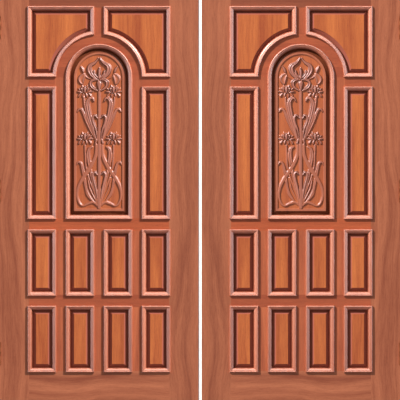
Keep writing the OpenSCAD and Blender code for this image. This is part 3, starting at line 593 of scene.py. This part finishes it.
def from_screen(*levels):
    """The linear colour of a colour that was read from a screen, by the sRGB formula."""
    shares = [level / 255 for level in levels]
    return [s / 12.92 if s <= 0.04045 else ((s + 0.055) / 1.055) ** 2.4 for s in shares] + [1]


print("middle grey of a screen, as light:", round(from_screen(128, 128, 128)[0], 3))


# %% [markdown]
# Each board is cut from another place in the tree, so the pattern jumps from board to board, and its
# lines drift, as the tree did not grow quite straight. A picture of wood could be wrapped on each
# board, but it would break at the edges. Here the pattern is worked out in the solid wood, so it runs
# on round every edge. The leaves were cut as a matched pair, so one mirrors the other.

# %% The place in the tree
ALONG_GRAIN = 0.055
GRAIN = {"up": (1, 1, ALONG_GRAIN), "level": (ALONG_GRAIN, 1, 1)}
BOARD_JUMP = (7, 7, 7)
DRIFT = {"scale": 1.4, "detail": 1.0}
ONE_BOARD = ((0, 0, 0), (9, 9, 9))


def place_in_tree(wood, spot, grain, boards, start, sway):
    """Where each spot was in the tree, drawn together along the grain."""
    mirrored = wood.vector("ABSOLUTE", spot)
    corner, size = boards
    board = wood.vector("SNAP", wood.vector("SUBTRACT", mirrored, corner), size)
    shuffle = wood.node("TexWhiteNoise", {"noise_dimensions": "3D"}, Vector=board).outputs["Color"]
    jump = wood.vector("MULTIPLY", shuffle, BOARD_JUMP)
    moved = wood.vector("ADD", wood.vector("ADD", mirrored, start), jump)
    drift = wood.vector("MULTIPLY", wood.noise(moved, **DRIFT), (sway, 0, sway))
    return wood.vector("MULTIPLY", wood.vector("ADD", moved, drift), GRAIN[grain])


print("grain directions:", list(GRAIN))


# %% [markdown]
# Oiled mahogany has three scales of detail: broad bands of lighter and darker red-brown, fine streaks
# along the grain, and short dark pores. One noise with many octaves would blur them into one another,
# so each scale has a noise of its own. The streaks and pores also make the polish uneven.

# %% Bands, streaks and pores
BANDS = {"scale": 22, "detail": 2.0, "distortion": 0.6}
STREAKS = {"scale": 260, "detail": 4.0, "distortion": 0.3}
PORES = {"scale": 1500, "detail": 1.0}
BAND_SHARE = 0.65
STREAK_SHARE = 0.35
DARK_AT = 0.33
LIGHT_AT = 0.66
NO_PORE = (0.60, (0, 0, 0, 1))
FULL_PORE = (0.70, (1, 1, 1, 1))
PORE_STRENGTH = 0.45
PORE_COLOUR = (0.35, 0.22, 0.16, 1)
PORE_DEPTH = 0.5
GRAIN_BUMP = {"strength": 0.12, "depth": 0.0006}
DULLER = 0.08
GLOSSIER = 0.06


def grained(wood, along, dark, light, gloss):
    """Wires the polish of the grain and hands back its colour."""
    bands = wood.math("MULTIPLY", wood.noise(along, **BANDS), BAND_SHARE)
    streaks = wood.noise(along, **STREAKS)
    tone = wood.math("ADD", bands, wood.math("MULTIPLY", streaks, STREAK_SHARE))
    colour = wood.ramp(tone, [(DARK_AT, dark), (LIGHT_AT, light)])
    pores = wood.ramp(wood.noise(along, **PORES), [NO_PORE, FULL_PORE])
    wood.link(wood.spread(streaks, gloss + DULLER, gloss - GLOSSIER), "Roughness")
    wood.bumps(wood.math("SUBTRACT", streaks, wood.math("MULTIPLY", pores, PORE_DEPTH)), **GRAIN_BUMP)
    return wood.mix("MULTIPLY", wood.math("MULTIPLY", pores, PORE_STRENGTH), colour, PORE_COLOUR)


print("bands across a metre, about:", BANDS["scale"])


# %% [markdown]
# The deep places are coloured and the high ones left clean. The sunk bevels of the panels take a red
# stain made darker as painted shade, and the roots of the mouldings and the edge beside the carving
# take dark painted shade. The raised relief of the carving is paler, partly as wear and partly as a
# painted highlight, and its steep sides get an outline of painted shade. It could be painted on each
# piece by hand. The depth under the leaf's face, on either side of its core, and the slope of the
# surface put it on all the pieces at once.

# %% Wear, painted highlight and painted shade
# The relief is paled from these depths, partly as wear and partly as a painted highlight; steep sides
# darken as painted shade.
WORN_HIGHLIGHT_FROM = 0.0035
WORN_HIGHLIGHT_TO = -0.001
WORN_HIGHLIGHT_AMOUNT = 0.8
STEEP_FROM = 0.92
STEEP_TO = 0.50
OUTLINE_SHADE_AMOUNT = 0.85
OUTLINE_SHADE = (0.06, 0.028, 0.022, 1)
DEEP_POLISH = 0.05


def wear_highlight_and_shade(wood, solid, colour, worn):
    """Pales the raised relief, partly as wear and partly as a painted highlight, and darkens its steep
    sides as painted shade.
    """
    # Raised relief: paler and greyer, partly wear and partly painted highlight.
    raised = wood.fade(wood.part(solid["Object"], "Y"), WORN_HIGHLIGHT_FROM, WORN_HIGHLIGHT_TO, 0.0, WORN_HIGHLIGHT_AMOUNT)
    colour = wood.mix("MIX", raised, colour, worn)
    # Steep sides: a dark outline of painted shade.
    slope = wood.math("ABSOLUTE", wood.part(solid["Normal"], "Y"))
    steep_shade = wood.fade(slope, STEEP_FROM, STEEP_TO, 0.0, OUTLINE_SHADE_AMOUNT)
    return wood.mix("MIX", steep_shade, colour, OUTLINE_SHADE)


def stain_and_shade_deep(wood, solid, colour, deep_stain_and_shade, polish):
    """Darkens what lies deep under the leaf's face, on both sides, as painted shade, in the panel bevels
    with a red stain, and dulls it.
    """
    from_core = wood.math("SUBTRACT", wood.part(solid["Object"], "Y"), LEAF_CORE)
    off_core = wood.math("ABSOLUTE", from_core)
    first, last = LEAF_CORE - deep_stain_and_shade["from"], LEAF_CORE - deep_stain_and_shade["to"]
    wood.link(wood.fade(off_core, first, last, polish, DEEP_POLISH), "Specular IOR Level")
    # Deep places: painted shade, in the panel bevels mixed with a red stain.
    stain_and_shade_share = wood.fade(off_core, first, last, 0.0, deep_stain_and_shade["amount"])
    return wood.mix("MIX", stain_and_shade_share, colour, deep_stain_and_shade["stain"])


print("relief is palest at y, mm:", WORN_HIGHLIGHT_TO / MM)


# %% [markdown]
# A finished board is a place in the tree and its grain. The carving adds wear with a painted highlight
# and painted shade; the panels, the carving's edge and the mouldings add painted shade in the deep
# places, the panels with a red stain.
# Each kind could have its own net from the start, but then a change to the grain would be made twenty
# times. So one function makes them all, and a kind says only where it differs.

# %% One finished wood
SWAY = 0.03
GLOSS = 0.42
POLISH = 0.34


def hardwood(name, grain, dark, light, boards=ONE_BOARD, start=(0, 0, 0), sway=SWAY,
             gloss=GLOSS, polish=POLISH, deep_stain_and_shade=None, worn=None):
    wood = Finish(name)
    solid = wood.node("TexCoord").outputs
    along = place_in_tree(wood, solid["Object"], grain, boards, start, sway)
    colour = grained(wood, along, dark, light, gloss)
    wood.surface.inputs["Specular IOR Level"].default_value = polish
    if worn:
        colour = wear_highlight_and_shade(wood, solid, colour, worn)
    if deep_stain_and_shade:
        colour = stain_and_shade_deep(wood, solid, colour, deep_stain_and_shade, polish)
    wood.link(colour, "Base Color")
    return wood.material


print("polish of the flat boards:", POLISH)


# %% [markdown]
# The members of a leaf are sorted by tone: calm brown stiles, redder rails and golden panels. The
# meeting stiles take the stile tone a little darker, as painted shade. A single colour with a random
# shift would mix them up, so each kind has its own dark and light tone. Pieces that are several boards
# on the real door, such as the lower panels, are told apart by a grid of boards, each as wide as the
# pitch of the columns.

# %% Tones, stains, painted shade and boards
STILE = (from_screen(138, 70, 46), from_screen(184, 108, 75))
# The meeting stiles take the stile tone a little darker, as painted shade.
SHADED_STILE = (from_screen(132, 67, 44), from_screen(178, 104, 72))
MULLION = (from_screen(152, 74, 47), from_screen(192, 104, 67))
RAIL = (from_screen(146, 68, 42), from_screen(178, 90, 57))
MIDDLE = (from_screen(158, 73, 42), from_screen(194, 97, 58))
TOP = (from_screen(126, 62, 40), from_screen(154, 84, 57))
PANEL = (from_screen(160, 76, 41), from_screen(209, 118, 63))
TRIM = (from_screen(133, 62, 39), from_screen(166, 88, 60))
FRAME = (from_screen(138, 70, 46), from_screen(172, 94, 62))
CARVED = (from_screen(154, 71, 36), from_screen(192, 101, 54))
DOWEL = (from_screen(196, 160, 112), from_screen(222, 190, 142))
# A paler, greyer tone for the raised relief: partly wear, partly painted highlight.
WORN_AND_HIGHLIGHT = from_screen(162, 103, 89)

# Deep places: a red stain darkened as painted shade in the panel bevels, and dark painted shade at the
# carving's edge and the moulding roots.
RED_STAIN_AND_SHADE = (0.34, 0.098, 0.072, 1)
PAINTED_SHADE_COLOUR = (0.05, 0.016, 0.013, 1)
SUNK_BEVEL_STAIN_AND_SHADE = {"from": 0.0016, "to": 0.0029, "amount": 0.85, "stain": RED_STAIN_AND_SHADE}
CARVING_EDGE_SHADE = {"from": 0.0016, "to": 0.0029, "amount": 0.7, "stain": PAINTED_SHADE_COLOUR}
MOULDING_ROOT_SHADE = {"from": -0.003, "to": 0.006, "amount": 0.5, "stain": PAINTED_SHADE_COLOUR}

PITCH = 0.175
BETWEEN_ROWS = 0.5815
FIRST_COLUMN = LEAF_MIDDLE - 2 * PITCH
FIRST_MULLION = FIRST_COLUMN + PITCH / 2
BEFORE_ALL = -5
OVER_ALL = 9
OVER_HALF = 3
BY_COLUMN = ((FIRST_COLUMN, BEFORE_ALL, BETWEEN_ROWS), (PITCH, OVER_ALL, OVER_HALF))
BY_MULLION = ((FIRST_MULLION, BEFORE_ALL, BETWEEN_ROWS), (PITCH, OVER_ALL, OVER_HALF))
BY_HALF = ((LEAF_MIDDLE - OVER_HALF, BEFORE_ALL, BEFORE_ALL), (OVER_HALF, OVER_ALL, OVER_ALL))
STILE_SWAY = 0.20
BOTTOM_SWAY = 0.35
print("pitch of the columns:", PITCH)


# %% Wood for each kind of board
wood_for = {
    "hinge_stile": hardwood("hinge_stile_wood", "up", *STILE, start=(1.3, 0, 0.4), sway=STILE_SWAY),
    "meeting_stile": hardwood("meeting_stile_wood", "up", *SHADED_STILE, start=(2.9, 0, 1.7), sway=STILE_SWAY),
    "upper_mullions": hardwood("upper_mullion_wood", "up", *MULLION, BY_HALF, start=(4.1, 0, 0)),
    "lower_mullions": hardwood("lower_mullion_wood", "up", *MULLION, BY_MULLION, start=(5.3, 0, 0)),
    "top_mullion": hardwood("top_mullion_wood", "up", *RAIL, start=(6.7, 0, 0)),
    "top_rail": hardwood("top_rail_wood", "level", *TOP, start=(0, 0, 3.1)),
    "mid_rail": hardwood("mid_rail_wood", "level", *MIDDLE, start=(0, 0, 4.3)),
    "cross_rail": hardwood("cross_rail_wood", "level", *RAIL, start=(0, 0, 5.9)),
    "bottom_rail": hardwood("bottom_rail_wood", "level", *STILE, start=(0, 0, 7.7), sway=BOTTOM_SWAY),
    "arch_rail": hardwood("arch_rail_wood", "level", *RAIL, start=(0, 0, 8.3)),
    "short_rails": hardwood("short_rail_wood", "level", *RAIL, BY_HALF, start=(0, 0, 9.1)),
    # The panels' sunk bevels get a red stain darkened as painted shade.
    "corner_panels": hardwood("corner_panel_wood", "up", *PANEL, BY_HALF, (8.9, 0, 0), deep_stain_and_shade=SUNK_BEVEL_STAIN_AND_SHADE),
    "side_panels": hardwood("side_panel_wood", "up", *PANEL, BY_HALF, (9.7, 0, 0), deep_stain_and_shade=SUNK_BEVEL_STAIN_AND_SHADE),
    "lower_panels": hardwood("lower_panel_wood", "up", *PANEL, BY_COLUMN, (10.5, 0, 0), deep_stain_and_shade=SUNK_BEVEL_STAIN_AND_SHADE),
    # The carving's relief is paled as wear and painted highlight, with painted shade on steep sides; its
    # edge and the moulding roots get painted shade.
    "carving": hardwood(
        "carved_panel_wood", "up", *CARVED, start=(11.9, 0, 0), gloss=0.36, polish=0.45, worn=WORN_AND_HIGHLIGHT,
    ),
    "carving_edge": hardwood(
        "carved_panel_edge_wood", "up", *CARVED, start=(11.9, 0, 0), deep_stain_and_shade=CARVING_EDGE_SHADE,
    ),
    "mouldings": hardwood(
        "moulding_wood", "up", *TRIM, start=(12.7, 0, 0), gloss=0.32, polish=0.6, deep_stain_and_shade=MOULDING_ROOT_SHADE,
    ),
    "jambs": hardwood("jamb_wood", "up", *FRAME, start=(13.1, 0, 0)),
    "head": hardwood("head_and_sill_wood", "level", *FRAME, start=(0, 0, 10.7)),
    "dowels": hardwood("dowel_wood", "level", *DOWEL),
}
print("wood finishes:", len(wood_for))


# %% [markdown]
# The metal and rubber pieces hardly show while the doors are shut, but they come into view when a
# leaf swings. Aged brass is darker in patches, the threshold keeps fine lines from the extruder,
# the seals are dull black rubber, and the closing strip is painted white. Four separate nets would
# do, but all four are patches of two tones, so one function makes them.

# %% Metal, rubber and white paint
PATCH_DARK_AT = 0.35
PATCH_LIGHT_AT = 0.65
PATCH_DETAIL = 4.0
LUMP_SCALE = 9
LUMP_DETAIL = 2.0
LUMP_DEPTH = 0.0004
PATCH_GLOSS = 0.08
DRAWN = (0.02, 1, 1)


def patched(name, dark, light, scale, metal, rough, bump=0.05, stretch=(1, 1, 1)):
    finish = Finish(name)
    place = finish.vector("MULTIPLY", finish.node("TexCoord").outputs["Object"], stretch)
    patches = finish.noise(place, scale, PATCH_DETAIL)
    finish.link(finish.ramp(patches, [(PATCH_DARK_AT, dark), (PATCH_LIGHT_AT, light)]), "Base Color")
    finish.link(finish.spread(patches, rough + PATCH_GLOSS, rough - PATCH_GLOSS), "Roughness")
    finish.surface.inputs["Metallic"].default_value = metal
    finish.bumps(finish.noise(place, scale * LUMP_SCALE, LUMP_DETAIL), bump, LUMP_DEPTH)
    return finish.material


aged_brass = patched(
    "aged_brass", from_screen(146, 92, 62), from_screen(184, 122, 84),
    scale=60, metal=1.0, rough=0.42,
)
drawn_metal = patched(
    "threshold_metal", from_screen(150, 148, 144), from_screen(176, 174, 170),
    scale=300, metal=1.0, rough=0.36, stretch=DRAWN,
)
dull_rubber = patched(
    "seal_rubber", from_screen(30, 27, 25), from_screen(44, 40, 37),
    scale=120, metal=0.0, rough=0.7, bump=0.2,
)
white_paint = patched(
    "white_paint", from_screen(244, 244, 242), from_screen(252, 252, 251),
    scale=40, metal=0.0, rough=0.5,
)
print("other finishes:", [m.name for m in (aged_brass, drawn_metal, dull_rubber, white_paint)])


# %% [markdown]
# A piece's name says what it is, so the finish is picked by name. Picking each piece by hand would
# work too, but the two leaves have the same names apart from their side. The carved panel gets two
# finishes: its relief is paler, partly as wear and partly as a painted highlight, with painted shade
# on its steep sides, and its bevelled edge is darkened with painted shade.

# %% Dress every piece
def dress(piece, material):
    piece.data.materials.clear()
    piece.data.materials.append(material)


def finish_of(name):
    side, _, rest = name.partition("_")
    plain = rest if side in ("left", "right") else name
    if "moulding" in plain:
        return wood_for["mouldings"]
    if "astragal" in plain:
        return white_paint
    if "seal" in plain or plain == "sweep":
        return dull_rubber
    if "hinge_plates" in plain or "screws" in plain or "pins" in plain:
        return aged_brass
    if plain == "threshold":
        return drawn_metal
    if plain == "jamb":
        return wood_for["jambs"]
    if plain in ("head_jamb", "sill"):
        return wood_for["head"]
    return wood_for["carving" if plain == "carved_panel" else plain]


for name, piece in joinery.items():
    dress(piece, finish_of(name))
for side, piece in carvings.items():
    dress(piece, wood_for["carving"])
    # The bevelled edge of the carved panel takes the finish with painted shade.
    piece.data.materials.append(wood_for["carving_edge"])
    spots = np.zeros(len(piece.data.polygons) * 3)
    piece.data.polygons.foreach_get("center", spots)
    aside = spots[0::3] - LEAF_MIDDLE * (-1 if side == "left" else 1)
    above = spots[2::3] - SPRING
    bevelled = (np.hypot(aside, np.maximum(above, 0)) > GROUND_R + RIM) | (above < GROUND_LOW - RIM)
    piece.data.polygons.foreach_set("material_index", bevelled.astype(int))
print("dressed:", len(joinery) + len(carvings))


# %% [markdown]
# The doors stand on a pale floor that takes their shadow. A curved backdrop could hide where the floor
# ends, but the world behind it is nearly as pale, so a plane will do. The floor sends no light back
# up, because that would wash out the shadows in the lower panels.

# %% Floor
FLOOR_SIZE = 16
FLOOR_DARK = (0.80, 0.80, 0.79, 1)
FLOOR_LIGHT = (0.84, 0.84, 0.83, 1)
FLOOR_ROUGH = 0.7
SPECK = {"scale": 30, "detail": 3.0}

clear_selection()
bpy.ops.mesh.primitive_plane_add(size=FLOOR_SIZE, location=(0, 0, 0))
floor = bpy.context.object
floor.name = "floor"
pale = Finish("pale_floor")
speck = pale.noise(pale.node("TexCoord").outputs["Object"], **SPECK)
pale.link(pale.ramp(speck, [(NOISE_LOW, FLOOR_DARK), (NOISE_HIGH, FLOOR_LIGHT)]), "Base Color")
pale.surface.inputs["Roughness"].default_value = FLOOR_ROUGH
dress(floor, pale.material)
floor.visible_diffuse = False
print("floor size:", FLOOR_SIZE)


# %% [markdown]
# Each leaf is lit from the side of the other one, high up, so each has a key lamp of its own that lights
# nothing else. One lamp over the middle would be simpler, but close by it would light each leaf
# unevenly, and far away it would light both from the front. The polished mouldings and the carving
# show softboxes as pale lines. Those boxes are seen as reflections only, so that no shadow washes out.

# %% A soft lamp for some pieces
def soft_lamp(name, place, aim, watts, size, colour, pieces, diffuse=True, glossy=True):
    bpy.ops.object.light_add(type="AREA", location=place)
    lamp = bpy.context.object
    lamp.name = name
    lamp.data.energy = watts
    lamp.data.size = size
    lamp.data.color = colour
    lamp.visible_camera = False
    lamp.visible_diffuse = diffuse
    lamp.visible_glossy = glossy
    way = np.array(aim) - np.array(place)
    tilt = math.acos(-way[2] / np.linalg.norm(way))
    turn = math.atan2(way[1], way[0]) - math.pi / 2
    lamp.rotation_euler = (tilt, 0, turn)
    lit = bpy.data.collections.new(name + "_lights")
    for piece in pieces:
        lit.objects.link(piece)
    lamp.light_linking.receiver_collection = lit
    print(name, "lights", len(pieces), "pieces")


# %% Lamps for each leaf
WHITE = (1, 1, 1)
PALE = (1, 0.88, 0.76)
WARM = (1, 0.79, 0.61)
COOL = (0.94, 0.90, 0.94)
AIM_HEIGHT = 1.05
LEAF_LAMPS = {
    "key": {"way": (0.64, -0.42, 0.64), "far": 24.0, "watts": 10600, "size": 1.6, "colour": WHITE},
    "side_sheen": {"way": (0.81, -0.57, 0.12), "far": 6.0, "watts": 1850, "size": 9.0, "colour": WARM},
    "top_sheen": {"way": (0.12, -0.57, 0.81), "far": 6.0, "watts": 2150, "size": 9.0, "colour": PALE},
    "far_sheen": {"way": (-0.81, -0.57, 0.12), "far": 6.0, "watts": 1500, "size": 9.0, "colour": COOL},
    "relief_sheen": {"way": (0.62, -0.40, 0.67), "far": 6.0, "watts": 1100, "size": 4.5, "colour": COOL},
}
LIT_KIND = {"key": "", "relief_sheen": "carving"}
bodies = frame["record"]["behaviour"]["bodies"]

for side, sign in (("left", -1), ("right", 1)):
    middle = np.array((sign * LEAF_MIDDLE, 0, AIM_HEIGHT))
    leaf = [joinery[n] for n in bodies[side + "_leaf"]] + [carvings[side]]
    for name, lamp in LEAF_LAMPS.items():
        kind = LIT_KIND.get(name, "moulding")
        lit = [piece for piece in leaf if kind in piece.name]
        place = middle + np.array(lamp["way"]) * (-sign, 1, 1) * lamp["far"]
        soft_lamp(f"{side}_{name}", place, middle, lamp["watts"], lamp["size"], lamp["colour"], lit,
                  diffuse="sheen" not in name)


# %% [markdown]
# The frame, the floor, the white strip between the leaves and the back of the doors have a lamp each.
# They could share the key lamps, but those are aimed at one leaf. Most of these lamps are kept out of
# reflections, so that the flat frame and the metal threshold don't flare white in a low view.

# %% Lamps for the frame, the floor, the strip and the back
FRAME_LAMP = (1.5, -9, 8)
FLOOR_LAMP = (4, -10, 26)
STRIP_LAMP = (0, -8, AIM_HEIGHT)
BACK_LAMP = (2.5, 8, 6)
DOOR_MIDDLE = (0, 0, 1.0)
STRIP_MIDDLE = (0, 0, AIM_HEIGHT)
FLOOR_MIDDLE = (0, 0, 0)

frame_pieces = [joinery[n] for n in bodies["frame"]]
leaf_pieces = [joinery[n] for n in bodies["left_leaf"] + bodies["right_leaf"]] + list(carvings.values())
all_pieces = frame_pieces + leaf_pieces
soft_lamp(
    "frame_key", FRAME_LAMP, DOOR_MIDDLE, watts=1700, size=2.5, colour=WHITE, pieces=frame_pieces,
    glossy=False,
)
soft_lamp(
    "floor_lamp", FLOOR_LAMP, FLOOR_MIDDLE, watts=5500, size=5.0, colour=WHITE, pieces=[floor],
    glossy=False,
)
soft_lamp(
    "strip_lamp", STRIP_LAMP, STRIP_MIDDLE, watts=250, size=0.8, colour=WHITE,
    pieces=[joinery["astragal"]],
)
soft_lamp(
    "back_lamp", BACK_LAMP, DOOR_MIDDLE, watts=1450, size=2.5, colour=WHITE, pieces=all_pieces,
    glossy=False,
)


# %% [markdown]
# A pale world stands behind the doors and fills their shadows a little. One brightness for both would
# either grey the background or flood the shadows. So the world is bright where the camera looks at
# it, straight or in a reflection, and much weaker as a light.

# %% World
FILL_LEVEL = 0.35
SEEN_LEVEL = 0.90
WORLD_TINT = (1.0, 0.98, 0.96, 1)

world = bpy.data.worlds.new("pale_world")
bpy.context.scene.world = world
world.use_nodes = True
sky = world.node_tree
path = sky.nodes.new("ShaderNodeLightPath").outputs
seen = path["Is Camera Ray"]
for ray in ("Is Glossy Ray", "Is Transmission Ray"):
    either = sky.nodes.new("ShaderNodeMath")
    either.operation = "MAXIMUM"
    sky.links.new(seen, either.inputs[0])
    sky.links.new(path[ray], either.inputs[1])
    seen = either.outputs["Value"]
level = sky.nodes.new("ShaderNodeMapRange")
level.inputs["To Min"].default_value = FILL_LEVEL
level.inputs["To Max"].default_value = SEEN_LEVEL
sky.links.new(seen, level.inputs["Value"])
sky.links.new(level.outputs["Result"], sky.nodes["Background"].inputs["Strength"])
sky.nodes["Background"].inputs["Color"].default_value = WORLD_TINT
print("world levels:", FILL_LEVEL, "as a light and", SEEN_LEVEL, "where it is seen")
